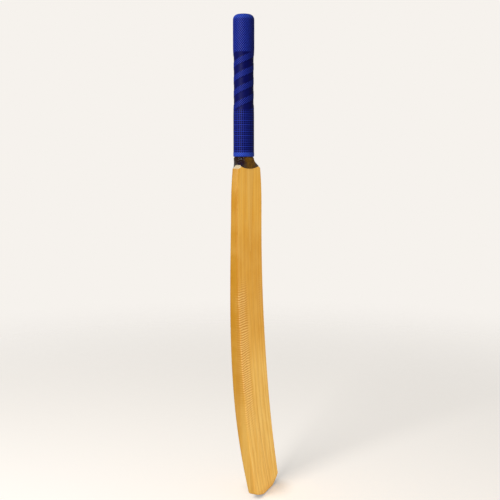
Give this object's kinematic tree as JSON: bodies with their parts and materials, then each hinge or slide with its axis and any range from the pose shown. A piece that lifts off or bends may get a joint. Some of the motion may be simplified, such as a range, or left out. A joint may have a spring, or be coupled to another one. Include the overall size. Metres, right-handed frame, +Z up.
{
  "type": "cricket bat",
  "caption": "Full-size cricket bat: bowed willow blade with rounded toe, spliced laminated cane handle, dark neck binding and a blue textured rubber grip.",
  "frame": {"origin": "under the middle of the whole bat, level with the lowest point of the toe", "axes": "+Z up the bat from toe to handle, +X across the blade's width, -Y the way the hitting face looks"},
  "size_m": [0.108, 0.0698, 0.85],
  "materials": {
    "willow": "satin oiled willow with straight grain",
    "cane": "sanded cane slips",
    "insert_rubber": "matt sheet rubber",
    "thread": "waxed thread soaked in dark glossy varnish",
    "grip_rubber": "moulded textured rubber, satin"
  },
  "bodies": {
    "root": {"blade": "willow", "cane_left_outer_front": "cane", "cane_left_outer_middle": "cane", "cane_left_outer_back": "cane", "cane_left_inner_front": "cane", "cane_left_inner_middle": "cane", "cane_left_inner_back": "cane", "cane_right_inner_front": "cane", "cane_right_inner_middle": "cane", "cane_right_inner_back": "cane", "cane_right_outer_front": "cane", "cane_right_outer_middle": "cane", "cane_right_outer_back": "cane", "rubber_strip_left": "insert_rubber", "rubber_strip_middle": "insert_rubber", "rubber_strip_right": "insert_rubber", "neck_binding": "thread", "lower_binding": "thread", "upper_binding": "thread", "grip": "grip_rubber"}
  },
  "joints": []
}
